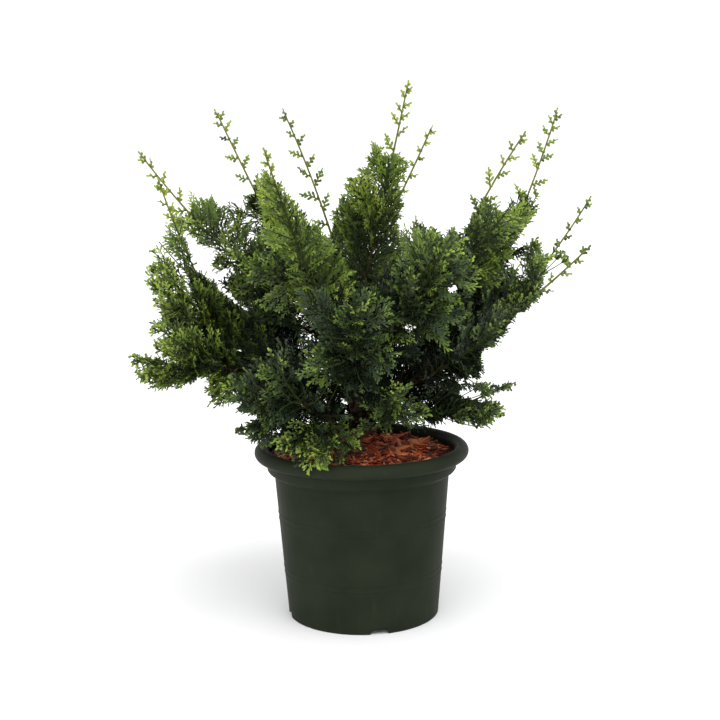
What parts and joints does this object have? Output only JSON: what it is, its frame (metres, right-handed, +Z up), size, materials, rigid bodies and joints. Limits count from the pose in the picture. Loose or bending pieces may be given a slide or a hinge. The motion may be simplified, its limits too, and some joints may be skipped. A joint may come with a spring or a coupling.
{
  "type": "potted hinoki cypress shrub",
  "caption": "Young spreading hinoki cypress shrub with flat lacy sprays of scale leaves, in a dark green round nursery pot with a rolled rim, topped with bark mulch.",
  "frame": {"origin": "centre of the pot's underside, in the plane that it stands on", "axes": "+Z up along the pot's axis, -Y towards the front of the picture, +X to the viewer's right"},
  "size_m": [0.4176, 0.3503, 0.488],
  "materials": {
    "pot_plastic": "satin, dark green-grey, a little dusty",
    "growing_medium": "matt, reddish-brown shredded bark",
    "bark": "matt, fibrous reddish-brown bark",
    "foliage": "matt, mid to dark green scale leaves"
  },
  "bodies": {
    "root": {"pot": "pot_plastic", "growing_medium": "growing_medium", "trunk": "bark", "bough_left": "bark", "bough_left_upper": "bark", "bough_centre": "bark", "bough_front_left": "bark", "bough_front": "bark", "bough_right_upper": "bark", "bough_right": "bark", "bough_right_low": "bark", "bough_front_low": "bark", "bough_rear_upper": "bark", "bough_rear_left": "bark", "bough_rear_right": "bark", "foliage_left_low": "foliage", "foliage_left_mid": "foliage", "foliage_left_high": "foliage", "foliage_left_inner": "foliage", "foliage_upper_left": "foliage", "foliage_upper_middle": "foliage", "foliage_centre_high": "foliage", "foliage_front_left_high": "foliage", "foliage_front_centre": "foliage", "foliage_front_right": "foliage", "foliage_right_high": "foliage", "foliage_right_upper": "foliage", "foliage_right_mid": "foliage", "foliage_right_side": "foliage", "foliage_right_low": "foliage", "foliage_right_foot": "foliage", "foliage_front_foot": "foliage", "foliage_front_left_low": "foliage", "foliage_left_foot": "foliage", "foliage_rim_front": "foliage", "foliage_rear_high": "foliage", "foliage_rear_left_high": "foliage", "foliage_rear_right_high": "foliage", "foliage_left_rear": "foliage", "foliage_rear_left": "foliage", "foliage_rear_left_low": "foliage", "foliage_rear_right": "foliage", "foliage_rear_low": "foliage", "foliage_rear_right_low": "foliage"}
  },
  "joints": []
}
